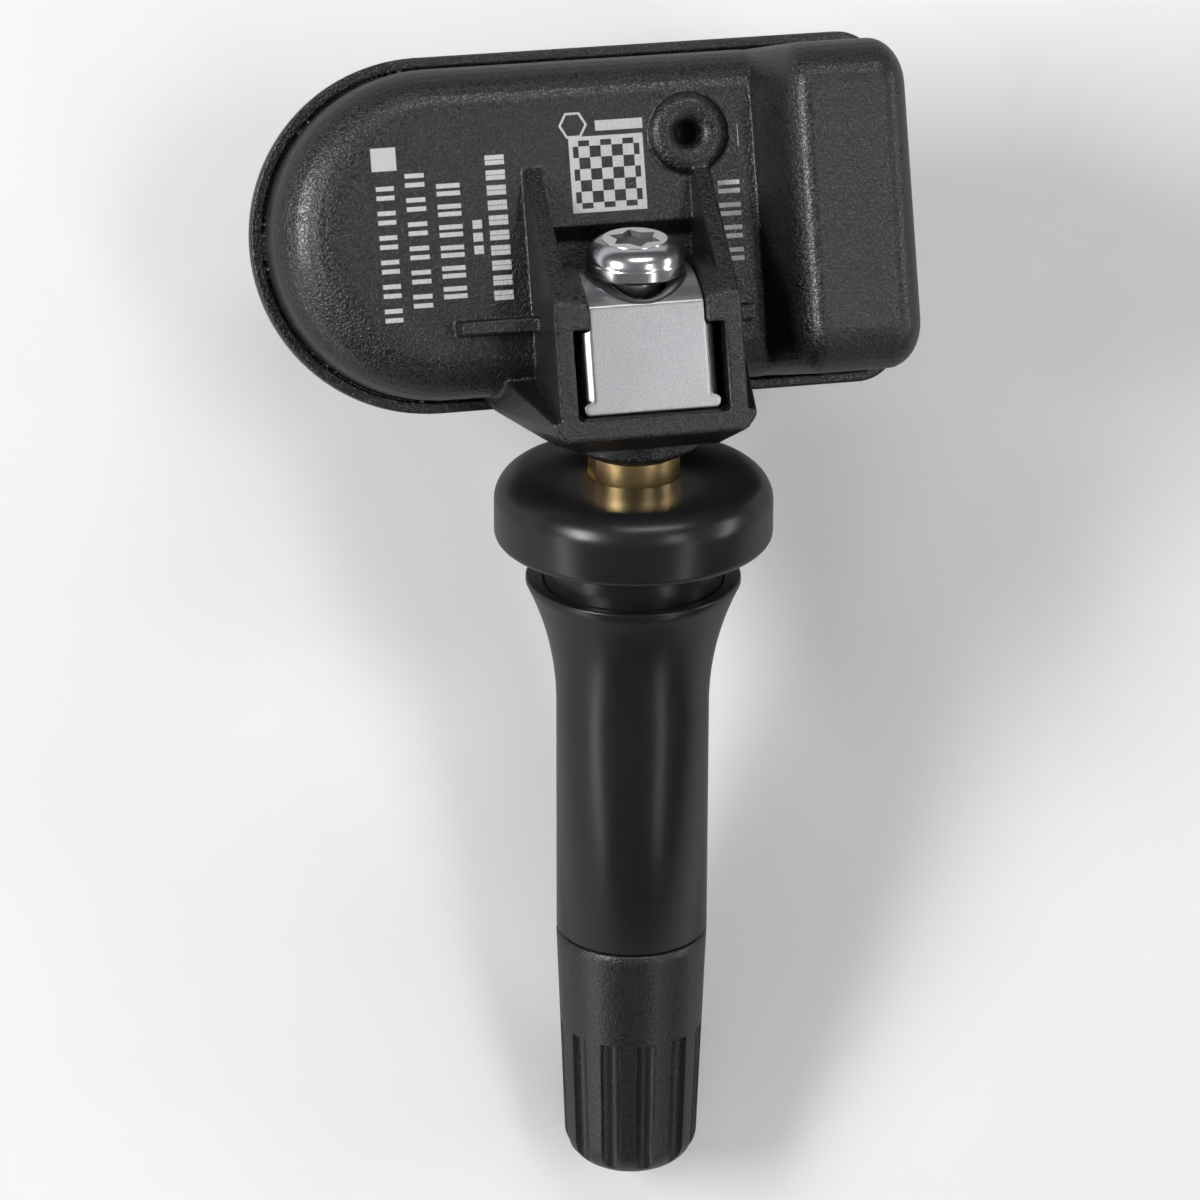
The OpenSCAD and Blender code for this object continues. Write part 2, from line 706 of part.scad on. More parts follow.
module housing_cover() {
    color("#232326") difference() {
        union() {
            difference() {
                union() {
                    low_shoulder();
                    bump_body();
                    bump_fillet();
                    port_ring();
                }
                difference() {
                    cavity();
                    cavity_keep();
                }
                well();
            }
            cheeks();
            ribs();
            rails();
            drum();
            difference() {
                pocket_floor();
                translate([-plate_end_r, plate_low + ledge + wall, plate_bottom])
                    cube([2 * plate_end_r, 20, face_z - plate_bottom - 2]);
            }
            on_valve() translate([0, 0, -floor_out - 0.5]) cylinder(r = boss_r, h = 3);
        }
        // Ball surface under the boss
        difference() {
            on_valve() translate([0, 0, -floor_out - 0.2]) cylinder(r = boss_r + 1, h = 6);
            on_valve() translate([0, 0, -pivot_h]) sphere(r = ball_r, $fn = 60);
            on_valve() translate([0, 0, -floor_out - 1]) difference() {
                cylinder(r = boss_r + 2, h = 1);
                cylinder(r = boss_r, h = 3, center = true);
            }
        }
        tilt_slot(screw_r + 0.12, ball_r * sin(tilt_play) + 0.1, -floor_in - 5, 0);
        tilt_slot(screw_r + 0.12, clip_r * sin(tilt_play) + 0.1, -pivot_h - 8, -pivot_h + 2);
        translate([port_x, port_y, ceiling - 1]) cylinder(r = port_hole_r, h = 4);
    }
}

// Base plate

board_top = ceiling - 0.6 - chip_h;

module base_plate() {
    color("#26262a") difference() {
        union() {
            translate([0, 0, plate_bottom]) linear_extrude(plate_t) plan(0);
            translate([0, 0, plate_top - eps]) linear_extrude(0.3) plan(ledge + wall + fit);
        }
        // Groove that shows as a dark line round the cover
        translate([0, 0, plate_top - 0.35]) linear_extrude(1) difference() {
            plan(ledge - 0.2);
            plan(ledge);
        }
        // Shallow recess of the back
        translate([0, 0, plate_bottom - 1]) linear_extrude(1.2) plan(2.2);
    }
}

// Clip

// Section across the front plate: flat, with its side edges bent back
module clip_section() {
    half = clip_plate_half;
    difference() {
        union() {
            translate([-half, -clip_face + clip_t]) square([2 * half, clip_return - clip_t]);
            translate([-half + clip_t, -clip_face]) square([2 * (half - clip_t), clip_return]);
            for (side = [-1, 1])
                translate([side * (half - clip_t), -clip_face + clip_t]) circle(r = clip_t);
        }
        translate([-half + clip_t, -clip_face + clip_t]) square([2 * (half - clip_t), clip_return]);
    }
}

// Side view of the strap: the front plate's middle, the arch over the drum and the leg behind it
module strap_profile(low) {
    difference() {
        intersection() {
            translate([pivot_y, pivot_z]) circle(r = clip_r);
            translate([pivot_y, pivot_z]) square([20, clip_face - pivot_z]);
        }
        intersection() {
            translate([pivot_y, pivot_z]) circle(r = clip_r - clip_t);
            translate([pivot_y - 1, pivot_z - 1]) square([20, clip_face - clip_t - pivot_z + 1]);
        }
    }
    translate([pivot_y + clip_r - clip_t, face_z - 0.9]) square([clip_t, pivot_z - face_z + 0.9 + eps]);
    translate([low, clip_face - clip_t]) square([pivot_y - low + eps, clip_t]);
}

// Lower end of the front plate, a small gap above the pocket floor
clip_low = (floor_in - clip_face * sin(valve_tilt)) / cos(valve_tilt) + 0.07;

module clip() {
    foot_h = 0.75;
    foot_r = 0.5;
    color("#b4b6ba") difference() {
        union() {
            across(clip_half) strap_profile(clip_low + 0.1);
            translate([0, clip_low + foot_h - 0.1, 0]) rotate([-90, 0, 0])
                linear_extrude(clip_shoulder - clip_low - foot_h + 0.1) clip_section();
            // Foot with round corners, which stands on the pocket floor
            translate([0, clip_low, clip_face - clip_t]) linear_extrude(clip_t) {
                for (side = [-1, 1])
                    translate([side * (clip_plate_half + 0.1 - foot_r), foot_r]) circle(r = foot_r, $fn = 32);
                translate([-clip_plate_half - 0.1 + foot_r, 0])
                    square([2 * (clip_plate_half + 0.1 - foot_r), foot_h]);
                translate([-clip_plate_half - 0.1, foot_r])
                    square([2 * clip_plate_half + 0.2, foot_h - foot_r]);
            }
        }
        // Lower ends sheared square to the valve, just above the pocket floor
        on_valve() translate([-8, -20, -floor_in - 0.07]) cube([16, 40, 6]);
        tilt_slot(screw_r + 0.12, clip_r * sin(tilt_play) + 0.1, -pivot_h - 8, -pivot_h);
        // Coined dish for the screw's head
        difference() {
            on_valve() translate([0, 0, -pivot_h - 8]) cylinder(r = dish_r, h = 8);
            across(dish_r + 1) translate([pivot_y, pivot_z]) circle(r = clip_r - dish_d);
        }
    }
}

// Electronics

module circuit_board() {
    color("#2f6b3d") translate([0, 0, board_top - board_t]) linear_extrude(board_t) difference() {
        intersection() {
            plan(ledge + wall + 0.4);
            translate([-4, 0]) square([40, 60]);
        }
        translate([-end_back, mid_y]) circle(r = cell_r + 0.5);
        for (p = posts) translate(p) circle(r = 0.6);
    }
}

cell_bottom = plate_top + 0.3 + tab_t + 0.05;

module coin_cell() {
    color("#c9cbce") translate([-end_back, mid_y, cell_bottom]) {
        cylinder(r = cell_r, h = cell_t - 0.5);
        cylinder(r = cell_r - 1, h = cell_t);
    }
}

module cell_tab_top() {
    z = cell_bottom + cell_t;
    color("#d6d4cc") {
        translate([-end_back + 2, mid_y + 2, z]) cube([end_back, 3, tab_t]);
        translate([-tab_t, mid_y + 2, board_top]) cube([tab_t, 3, z - board_top + tab_t]);
        translate([-tab_t, mid_y + 2, board_top]) cube([2, 3, tab_t]);
    }
}

module cell_tab_bottom() {
    z = cell_bottom - tab_t;
    under = board_top - board_t;
    color("#d6d4cc") {
        translate([-end_back + 2, mid_y - 5, z]) cube([end_back, 3, tab_t]);
        translate([-tab_t, mid_y - 5, z]) cube([tab_t, 3, under - z]);
        translate([-tab_t, mid_y - 5, under - tab_t]) cube([2, 3, tab_t]);
    }
}

module pressure_chip() {
    color("#202024") difference() {
        translate([port_x - chip_w / 2, port_y - chip_w / 2, board_top + 0.1])
            cube([chip_w, chip_w, chip_h - 0.1]);
        translate([port_x, port_y, board_top + chip_h - 0.6]) cylinder(r = port_hole_r, h = 2);
    }
}

module chip_legs() {
    color("#cfd0d2") for (side = [-1, 1], i = [-1.5:1:1.5])
        translate([port_x + side * (chip_w / 2 + 0.35), port_y + i * 1.1, board_top + 0.15])
            cube([0.7, 0.4, 0.3], center = true);
}

module port_seal() {
    color("#3b3f45") translate([port_x, port_y, board_top + chip_h]) difference() {
        cylinder(r = 2, h = ceiling - board_top - chip_h);
        translate([0, 0, -1]) cylinder(r = port_hole_r + 0.2, h = 4);
    }
}

coil_x = 15.6;
coil_flange = 1.2;
coil_bar = coil_w - 1.4;
coil_mid = coil_w / 2 - 0.1;
module coil_core() {
    color("#3a3634") translate([coil_x, mid_y, board_top]) {
        translate([0, 0, coil_mid]) cube([coil_bar, coil_l, coil_bar - 0.4], center = true);
        for (side = [-1, 1]) translate([0, side * (coil_l - coil_flange) / 2, coil_mid - 0.1])
            cube([coil_w, coil_flange, coil_w - 0.4], center = true);
    }
}

module coil_winding() {
    l = coil_l - 2 * coil_flange - 0.2;
    color("#b4683a") translate([coil_x, mid_y, board_top + coil_mid]) difference() {
        cube([coil_bar + 2 * winding_t, l, coil_bar - 0.4 + 2 * winding_t], center = true);
        cube([coil_bar, l + 1, coil_bar - 0.4], center = true);
    }
}

module rf_antenna() {
    bar_z = bump_top - wall - 1.4;
    color("#c8a25a") {
        for (side = [-1, 1])
            translate([coil_x - 0.5, mid_y + side * 8 - 0.3, board_top])
                cube([1, 0.6, bar_z - board_top + 0.6]);
        translate([coil_x - 0.5, mid_y - 8, bar_z]) cube([1, 16, 0.6]);
    }
}

module crystal_can() {
    color("#cdced1") translate([11.4, 19, board_top]) cube([1.6, 3.2, 0.9]);
}

module small_parts() {
    color("#8a7a62") {
        for (i = [0:3]) translate([2.2 + 1.9 * i, 18.4, board_top]) cube([1, 0.6, 0.5]);
        for (i = [0:2]) translate([3 + 2 * i, 20.6, board_top]) cube([1.2, 0.8, 0.6]);
    }
}

valve_rubber();
valve_stem();
fixing_screw();
core_barrel();
core_gasket();
core_spring();
core_pin();
core_cup();
core_cup_seal();
valve_cap();
cap_seal();
housing_cover();
base_plate();
clip();
circuit_board();
coin_cell();
cell_tab_top();
cell_tab_bottom();
pressure_chip();
chip_legs();
port_seal();
coil_core();
coil_winding();
rf_antenna();
crystal_can();
small_parts();
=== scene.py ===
import math

import bmesh
import bpy
from mathutils import Matrix, Vector


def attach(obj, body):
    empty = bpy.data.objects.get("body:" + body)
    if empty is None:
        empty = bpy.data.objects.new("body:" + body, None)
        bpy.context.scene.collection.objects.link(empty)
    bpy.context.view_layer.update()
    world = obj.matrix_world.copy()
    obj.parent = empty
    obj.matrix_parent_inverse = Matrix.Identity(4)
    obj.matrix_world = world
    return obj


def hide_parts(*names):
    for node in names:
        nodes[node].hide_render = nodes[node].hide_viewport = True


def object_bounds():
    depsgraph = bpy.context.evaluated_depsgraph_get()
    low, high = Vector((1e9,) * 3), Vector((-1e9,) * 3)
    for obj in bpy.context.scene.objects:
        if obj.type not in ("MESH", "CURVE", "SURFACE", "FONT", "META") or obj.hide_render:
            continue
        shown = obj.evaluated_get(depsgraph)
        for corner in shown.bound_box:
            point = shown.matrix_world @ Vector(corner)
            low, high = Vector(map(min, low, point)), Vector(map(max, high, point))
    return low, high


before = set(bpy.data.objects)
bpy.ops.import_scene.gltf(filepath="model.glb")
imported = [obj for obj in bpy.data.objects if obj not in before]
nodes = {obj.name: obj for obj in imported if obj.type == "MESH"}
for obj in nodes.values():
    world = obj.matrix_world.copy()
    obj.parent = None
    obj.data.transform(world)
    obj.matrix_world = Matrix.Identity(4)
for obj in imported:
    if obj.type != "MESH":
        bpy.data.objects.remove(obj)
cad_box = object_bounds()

scene = bpy.context.scene
MM = 0.001


# Camera
# A long lens looks almost straight down on the housing's face, a little from the left and from the
# valve's side, so the valve hangs down the picture and the brass neck shows above its flange.

def new_object(name, data):
    """An object with the given data, linked to the scene."""
    made = bpy.data.objects.new(name, data)
    scene.collection.objects.link(made)
    return made


VALVE_LEAN = math.radians(20)
OUT = Vector((0, -math.cos(VALVE_LEAN), -math.sin(VALVE_LEAN)))
FRONT = Vector((0, -math.sin(VALVE_LEAN), math.cos(VALVE_LEAN)))
ACROSS = Vector((1, 0, 0))

camera_yaw = math.radians(12.455)
camera_rise = math.radians(23.057)
camera_roll = math.radians(-0.124)
focal_px, picture_px, sensor_mm = 5319.07, 1200, 36
distance_mm, off_right_mm, off_down_mm = 381.3, 2.394, -4.603

right = math.cos(camera_yaw) * ACROSS + math.sin(camera_yaw) * FRONT
back = -math.sin(camera_yaw) * ACROSS + math.cos(camera_yaw) * FRONT
down = math.cos(camera_rise) * OUT + math.sin(camera_rise) * back
away = math.sin(camera_rise) * OUT - math.cos(camera_rise) * back
right, down = (math.cos(camera_roll) * right + math.sin(camera_roll) * down,
               -math.sin(camera_roll) * right + math.cos(camera_roll) * down)

camera = new_object("camera", bpy.data.cameras.new("camera"))
camera.data.sensor_width = sensor_mm
camera.data.lens = sensor_mm * focal_px / picture_px
camera.data.clip_start = 0.01
camera.data.clip_end = 5
eye = -(distance_mm * away + off_right_mm * right + off_down_mm * down) * MM
camera.matrix_world = Matrix.Translation(eye) @ Matrix((right, -down, -away)).transposed().to_4x4()
scene.camera = camera
scene.view_settings.view_transform = "Standard"


# Floor and light
# A sheet of white card lies just under the cap's tip. Soft boxes stand round the sensor: a strong one
# at the upper left, weaker ones above, right and beside it, and two long strips that draw the streaks
# on the valve. A dim room fills the rest.

def linear(code):
    """The linear colour of an sRGB hex code."""
    parts = [int(code[i:i + 2], 16) / 255 for i in (1, 3, 5)]
    return tuple(p / 12.92 if p <= 0.04045 else ((p + 0.055) / 1.055) ** 2.4 for p in parts) + (1,)


def add_node(tree, kind, values=(), links=()):
    """Adds one shader node. values set its attributes or inputs, links join its inputs to outputs."""
    made = tree.nodes.new(kind)
    for key, value in values:
        if isinstance(key, str) and hasattr(made, key):
            setattr(made, key, value)
        else:
            made.inputs[key].default_value = value
    for key, socket in links:
        tree.links.new(socket, made.inputs[key])
    return made


def new_material(name):
    """An empty node material and its output node."""
    made = bpy.data.materials.new(name)
    made.use_nodes = True
    made.node_tree.nodes.clear()
    return made, made.node_tree, made.node_tree.nodes.new("ShaderNodeOutputMaterial")


floor_half, floor_gap = 3, 0.5 * MM
floor_z = cad_box[0].z - floor_gap
corners = [(x * floor_half, y * floor_half, floor_z) for x, y in ((-1, -1), (1, -1), (1, 1), (-1, 1))]
floor_mesh = bpy.data.meshes.new("floor")
floor_mesh.from_pydata(corners, [], [(0, 1, 2, 3)])
new_object("floor", floor_mesh)

# Matt white card: even and without shine, with a faint cloudiness 11 mm across. Glossy rays see the card
# painted a darker grey, a painted shade in everything that mirrors the floor.
card, tree, output = new_material("white_card")
ray = add_node(tree, "ShaderNodeLightPath")
paper = add_node(tree, "ShaderNodeTexNoise", [("Scale", 0.09 / MM), ("Detail", 4)],
                 [("Vector", add_node(tree, "ShaderNodeTexCoord").outputs["Object"])])
sheet = add_node(tree, "ShaderNodeMix",
                 [("data_type", "RGBA"), (6, linear("#eeeeed")), (7, linear("#f3f2f1"))],
                 [(0, paper.outputs["Fac"])])
# Painted shade: the card turns darker grey for glossy rays only
tone = add_node(tree, "ShaderNodeMix", [("data_type", "RGBA"), (7, linear("#b8b8ba"))],
                [(0, ray.outputs["Is Glossy Ray"]), (6, sheet.outputs[2])])
shader = add_node(tree, "ShaderNodeBsdfPrincipled", [("Roughness", 0.9), ("Specular IOR Level", 0.1)],
                  [("Base Color", tone.outputs[2])])
tree.links.new(shader.outputs[0], output.inputs[0])
floor_mesh.materials.append(card)

# The room is dark near the floor and paler toward the ceiling
world = bpy.data.worlds.new("room")
scene.world = world
world.use_nodes = True
place = add_node(world.node_tree, "ShaderNodeTexCoord")
height = add_node(world.node_tree, "ShaderNodeSeparateXYZ", links=[("Vector", place.outputs["Generated"])])
fade = add_node(world.node_tree, "ShaderNodeMapRange",
                [("From Min", -0.1), ("From Max", 0.95), ("To Min", 0.05), ("To Max", 0.2)],
                [("Value", height.outputs["Z"])])
sky = world.node_tree.nodes["Background"]
sky.inputs[0].default_value = linear("#f4f5f8")
world.node_tree.links.new(fade.outputs["Result"], sky.inputs[1])


def window(name, place, aim, along, sides, watts):
    """A rectangular area lamp at place, facing aim, with its first side along the given direction."""
    lamp = bpy.data.lights.new(name, "AREA")
    lamp.shape = "RECTANGLE"
    lamp.size, lamp.size_y = sides
    lamp.energy = watts
    obj = new_object(name, lamp)
    obj.location = place
    facing = (Vector(place) - Vector(aim)).normalized()
    side = (along - along.dot(facing) * facing).normalized()
    obj.rotation_euler = Matrix((side, facing.cross(side), facing)).transposed().to_euler()


up_picture = Vector((0, 1, 0))
middle, shank_middle = (0, -0.006, 0), (0, -0.03, 0)
window("window_left", (-0.47, 0.12, 0.36), middle, up_picture, (0.30, 0.13), 3.0)
window("window_top", (0.06, 0.44, 0.46), middle, ACROSS, (0.40, 0.12), 1.0)
window("window_right", (0.22, -0.01, 0.57), middle, up_picture, (0.30, 0.11), 0.5)
window("window_side", (0.50, 0.02, 0.20), middle, up_picture, (0.40, 0.07), 0.7)
window("strip_left", (-0.50, -0.30, 0.07), shank_middle, OUT, (0.60, 0.12), 0.75)
window("strip_right", (0.30, -0.40, 0.38), shank_middle, OUT, (0.60, 0.08), 0.42)


# Rubber valve body
# One piece of black EPDM rubber, moulded and cured onto the brass stem: flange, rim groove, snap lip
# and a flared shank. Its mould is polished.

def arc(centre, radius, start, end, steps):
    """Points of an arc, angles in degrees."""
    angles = [math.radians(start + (end - start) * i / steps) for i in range(steps + 1)]
    return [(centre[0] + radius * math.cos(a), centre[1] + radius * math.sin(a)) for a in angles]


def valve_point(radius, station, angle):
    """A point in metres from the radius, the distance along the valve and the angle round it."""
    return (math.cos(angle) * radius * ACROSS + math.sin(angle) * radius * FRONT + station * OUT) * MM


def closed_mesh(name, vertices, faces):
    """A mesh with all its faces turned outward."""
    mesh = bpy.data.meshes.new(name)
    mesh.from_pydata(vertices, [], faces)
    bm = bmesh.new()
    bm.from_mesh(mesh)
    bmesh.ops.recalc_face_normals(bm, faces=bm.faces)
    bm.to_mesh(mesh)
    bm.free()
    return mesh


def link_piece(name, mesh, body, replaced, sharp):
    """Makes a mesh into a piece that rides on a body and stands for a CAD node."""
    obj = new_object(name, mesh)
    mesh.shade_smooth()
    mesh.set_sharp_from_angle(angle=math.radians(sharp))
    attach(obj, body)
    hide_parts(replaced)
    return obj


def turned(name, profile, count):
    """A closed profile of (radius, station) points turned round the valve's axis, as a mesh."""
    angles = [2 * math.pi * i / count for i in range(count)]
    on_axis = 1e-6
    vertices, rows = [], []
    for radius, station in profile:
        if radius < on_axis:
            rows.append([len(vertices)] * count)
            vertices.append(valve_point(0, station, 0))
        else:
            rows.append(list(range(len(vertices), len(vertices) + count)))
            vertices += [valve_point(radius, station, a) for a in angles]
    closed = profile[0][0] > on_axis
    faces = []
    for i in range(len(rows) if closed else len(rows) - 1):
        near, far = rows[i], rows[(i + 1) % len(rows)]
        for k in range(count):
            m = (k + 1) % count
            ring = [near[k], near[m], far[m], far[k]]
            faces.append(list(dict.fromkeys(ring)))
    return closed_mesh(name, vertices, [f for f in faces if len(f) > 2])


flange_r, flange_h, flange_round, flange_edge = 10, 5, 2.1, 0.7
groove_r, groove_root, lip_at, lip_h, lip_r, lip_edge = 6.45, 0.25, 2.85, 0.45, 7.75, 0.17
undercut_r, undercut_start = 0.2, 0.05
shank_r, flare_r, seam_at, seam_edge, bond_r, bond_edge = 5.55, 22, 30.9, 0.12, 3.36, 0.1
flare_end = lip_at + lip_h + math.sqrt(flare_r ** 2 - (flare_r - (lip_r - shank_r)) ** 2)
flare_angle = math.degrees(math.acos((flare_r - (lip_r - shank_r)) / flare_r))
rubber_profile = (
    [(bond_r, bond_edge - flange_h), (bond_r + bond_edge, -flange_h)]
    + arc((flange_r - flange_round, flange_round - flange_h), flange_round, -90, 0, 14)
    + arc((flange_r - flange_edge, -flange_edge), flange_edge, 0, 90, 8)
    + arc((groove_r + groove_root, groove_root), groove_root, 270, 180, 5)
    + [(groove_r, lip_at + lip_h - undercut_start)]
    + arc((groove_r + undercut_r, lip_at + lip_h), undercut_r, 180, 300, 6)
    + arc((lip_r - lip_edge, lip_at + lip_edge), lip_edge, -70, 10, 6)
    + arc((shank_r + flare_r, flare_end), flare_r, 180 + flare_angle, 180, 24)
    + [(shank_r, seam_at - seam_edge), (shank_r - seam_edge, seam_at), (bond_r, seam_at)]
)
rubber = link_piece("rubber_valve_body", turned("rubber_valve_body", rubber_profile, 160),
                    "valve", "valve_rubber", 50)

# Rubber from a polished mould: black and even, with a satin skin that draws soft streaks. The tone
# wanders over about 1 mm; the pores, 0.2 mm, are drawn coarser than real.
epdm, tree, output = new_material("epdm_rubber_satin")
place = add_node(tree, "ShaderNodeTexCoord")
mottle = add_node(tree, "ShaderNodeTexNoise", [("Scale", 0.9 / MM), ("Detail", 4), ("Roughness", 0.6)],
                  [("Vector", place.outputs["Object"])])
tone = add_node(tree, "ShaderNodeMix",
                [("data_type", "RGBA"), (6, linear("#151517")), (7, linear("#1d1d1f"))],
                [(0, mottle.outputs["Fac"])])
skin = add_node(tree, "ShaderNodeMapRange", [("To Min", 0.26), ("To Max", 0.33)],
                [("Value", mottle.outputs["Fac"])])
pores = add_node(tree, "ShaderNodeTexNoise", [("Scale", 5.2 / MM), ("Detail", 2)],
                 [("Vector", place.outputs["Object"])])
bump = add_node(tree, "ShaderNodeBump", [("Strength", 0.35), ("Distance", 0.01 * MM)],
                [("Height", pores.outputs["Fac"])])
shader = add_node(tree, "ShaderNodeBsdfPrincipled", [("IOR", 1.5), ("Specular IOR Level", 0.45)],
                  [("Base Color", tone.outputs[2]), ("Roughness", skin.outputs["Result"]),
                   ("Normal", bump.outputs["Normal"])])
tree.links.new(shader.outputs[0], output.inputs[0])
rubber.data.materials.append(epdm)


# Brass stem and valve core
# Free-machining brass, turned on an automatic lathe. The bare neck shows between the rubber and the
# housing; fine tool rings run round it.

def dress(names, material):
    """Gives CAD nodes a material in place of their own."""
    for name in names:
        mesh = nodes[name].data
        mesh.materials.clear()
        mesh.materials.append(material)


def turned_metal(name, light, dark, rough, ring_mm, metallic=1):
    """A turned metal: fine rings along the valve's axis vary its tone and its gloss."""
    made, tree, output = new_material(name)
    place = add_node(tree, "ShaderNodeTexCoord")
    along = add_node(tree, "ShaderNodeVectorMath",
                     [("operation", "DOT_PRODUCT"), (1, OUT)], [(0, place.outputs["Object"])])
    rings = add_node(tree, "ShaderNodeTexNoise",
                     [("noise_dimensions", "1D"), ("Scale", 1 / (ring_mm * MM)), ("Detail", 3)],
                     [("W", along.outputs["Value"])])
    tone = add_node(tree, "ShaderNodeMix",
                    [("data_type", "RGBA"), (6, linear(dark)), (7, linear(light))],
                    [(0, rings.outputs["Fac"])])
    gloss = add_node(tree, "ShaderNodeMapRange", [("To Min", rough - 0.06), ("To Max", rough + 0.08)],
                     [("Value", rings.outputs["Fac"])])
    bump = add_node(tree, "ShaderNodeBump", [("Strength", 0.4), ("Distance", 0.01 * MM)],
                    [("Height", rings.outputs["Fac"])])
    shader = add_node(tree, "ShaderNodeBsdfPrincipled", [("Metallic", metallic)],
                      [("Base Color", tone.outputs[2]), ("Roughness", gloss.outputs["Result"]),
                       ("Normal", bump.outputs["Normal"])])
    tree.links.new(shader.outputs[0], output.inputs[0])
    return made


# Bare turned brass: warm yellow, its reflections blurred along the rings, which are 0.12 mm apart
brass = turned_metal("brass_turned", "#f8dca6", "#dcb474", 0.3, 0.12)
dress(["valve_stem", "core_barrel", "core_pin", "core_cup"], brass)


# Fixing screw
# A case-hardened steel screw with a bright nickel plate. Its pan head has a cylindrical band, a domed
# edge, a flat top and a six-pointed driver recess pressed into it.

def bake(obj):
    """Applies an object's modifiers."""
    evaluated = obj.evaluated_get(bpy.context.evaluated_depsgraph_get())
    mesh = bpy.data.meshes.new_from_object(evaluated)
    obj.modifiers.clear()
    obj.data = mesh


head_r, flat_r, band, dome, dome_r, dome_step, crease = 3.5, 2.28, 1.0, 1.4, 1.6, 0.04, 0.06
seat_at, screw_r, bevel_w, bevel_h = -20.15, 1.95, 0.3, 0.26
tip_at, tip_h, tip_in = -0.4, 0.6, 0.5
top_at = seat_at - band - dome
screw_profile = (
    [(0, top_at), (flat_r, top_at)]
    + [(head_r - dome_step - dome_r + dome_r * math.cos(a), top_at + dome * (1 - math.sin(a)))
       for a in [math.radians(74 - 4 * i) for i in range(19)]]
    + [(head_r, seat_at - band + crease), (head_r, seat_at - bevel_h), (head_r - bevel_w, seat_at)]
    + [(screw_r, seat_at), (screw_r, tip_at - tip_h), (screw_r - tip_in, tip_at), (0, tip_at)]
)
blank = new_object("screw_blank", turned("screw_blank", screw_profile, 144))

# The punch for the recess starts above the flat and narrows a little with its depth
recess_r, recess_waist_r = 1.9, 1.28
punch_rows = [(-0.4, 1.06), (0, 1.0), (0.2, 0.98), (0.4, 0.96)]
star = [(recess_waist_r if i % 2 else recess_r, math.pi * i / 6 + math.pi / 2) for i in range(12)]
count = len(star)
vertices = [valve_point(r * grow, top_at + depth, a) for depth, grow in punch_rows for r, a in star]
faces = [list(range(count - 1, -1, -1)), [count * (len(punch_rows) - 1) + k for k in range(count)]]
for row in range(len(punch_rows) - 1):
    for k in range(count):
        m = (k + 1) % count
        faces.append([row * count + k, row * count + m, (row + 1) * count + m, (row + 1) * count + k])
punch = new_object("star_punch", closed_mesh("star_punch", vertices, faces))
press = blank.modifiers.new("press", "BOOLEAN")
press.operation = "DIFFERENCE"
press.solver = "EXACT"
press.object = punch
bake(blank)
bpy.data.objects.remove(punch)
screw_mesh = blank.data
bpy.data.objects.remove(blank)
screw = link_piece("fixing_screw_plated", screw_mesh, "valve", "fixing_screw", 11)

# Bright nickel plate: almost a mirror and hardly tinted, with a slight haze in patches of 1.4 mm
nickel, tree, output = new_material("nickel_plate_bright")
place = add_node(tree, "ShaderNodeTexCoord")
haze = add_node(tree, "ShaderNodeTexNoise", [("Scale", 0.7 / MM), ("Detail", 5)],
                [("Vector", place.outputs["Object"])])
gloss = add_node(tree, "ShaderNodeMapRange", [("To Min", 0.17), ("To Max", 0.25)],
                 [("Value", haze.outputs["Fac"])])
tone = add_node(tree, "ShaderNodeMix",
                [("data_type", "RGBA"), (6, linear("#cfd0d4")), (7, linear("#e6e6e8"))],
                [(0, haze.outputs["Fac"])])
shader = add_node(tree, "ShaderNodeBsdfPrincipled", [("Metallic", 1)],
                  [("Base Color", tone.outputs[2]), ("Roughness", gloss.outputs["Result"])])
tree.links.new(shader.outputs[0], output.inputs[0])
screw.data.materials.clear()
screw.data.materials.append(nickel)

# The flat has a matt finish and is painted pale, a painted highlight; the recess is dull and painted
# darker, a painted shade, so the star stands out
screw.data.materials.append(turned_metal("painted_highlight_top_matt", "#d2d2d4", "#c2c2c5", 0.45, 0.1, 0.25))
screw.data.materials.append(turned_metal("painted_shade_recess_dull", "#6a6a6d", "#5c5c60", 0.55, 0.1, 0.3))
# Faces on the flat take the painted highlight, faces down in the recess the painted shade
on_flat = 0.02
for face in screw.data.polygons:
    middle_of = face.center / MM
    depth = middle_of.dot(OUT) - top_at
    off_axis = (middle_of - middle_of.dot(OUT) * OUT).length
    if off_axis < flat_r and depth < dome:
        face.material_index = 1 if depth < on_flat else 2


# Clip
# Spring stainless steel sheet 0.9 mm thick, blanked, bent over the housing's drum and vibro-finished,
# which rounds every edge a little.

def softened(node, name, voxel_mm, smoothing, limit):
    """A CAD node's mesh, remeshed evenly in mm, smoothed so that its edges are slightly round, thinned."""
    mesh = nodes[node].data.copy()
    mesh.materials.clear()
    mesh.transform(Matrix.Scale(1 / MM, 4))
    obj = new_object(name, mesh)
    weld = obj.modifiers.new("weld", "WELD")
    weld.merge_threshold = 0.0005
    step = obj.modifiers.new("remesh", "REMESH")
    step.mode = "VOXEL"
    step.voxel_size = voxel_mm
    relax = obj.modifiers.new("relax", "SMOOTH")
    relax.factor = 0.5
    relax.iterations = smoothing
    bake(obj)
    triangles = sum(len(f.vertices) - 2 for f in obj.data.polygons)
    if triangles > limit:
        # The thinned mesh takes its shading from the dense one, so no facet shows
        dense = new_object("dense", obj.data.copy())
        dense.data.shade_smooth()
        thin = obj.modifiers.new("thin", "DECIMATE")
        thin.ratio = limit / triangles
        shading = obj.modifiers.new("shading", "DATA_TRANSFER")
        shading.object = dense
        shading.use_loop_data = True
        shading.data_types_loops = {"CUSTOM_NORMAL"}
        shading.loop_mapping = "POLYINTERP_NEAREST"
        bake(obj)
        bpy.data.objects.remove(dense)
    mesh = obj.data
    bpy.data.objects.remove(obj)
    mesh.transform(Matrix.Scale(MM, 4))
    mesh.name = name
    return mesh


clip = link_piece("clip_stainless", softened("clip", "clip_stainless", 0.07, 9, 120000),
                  "sensor", "clip", 180)

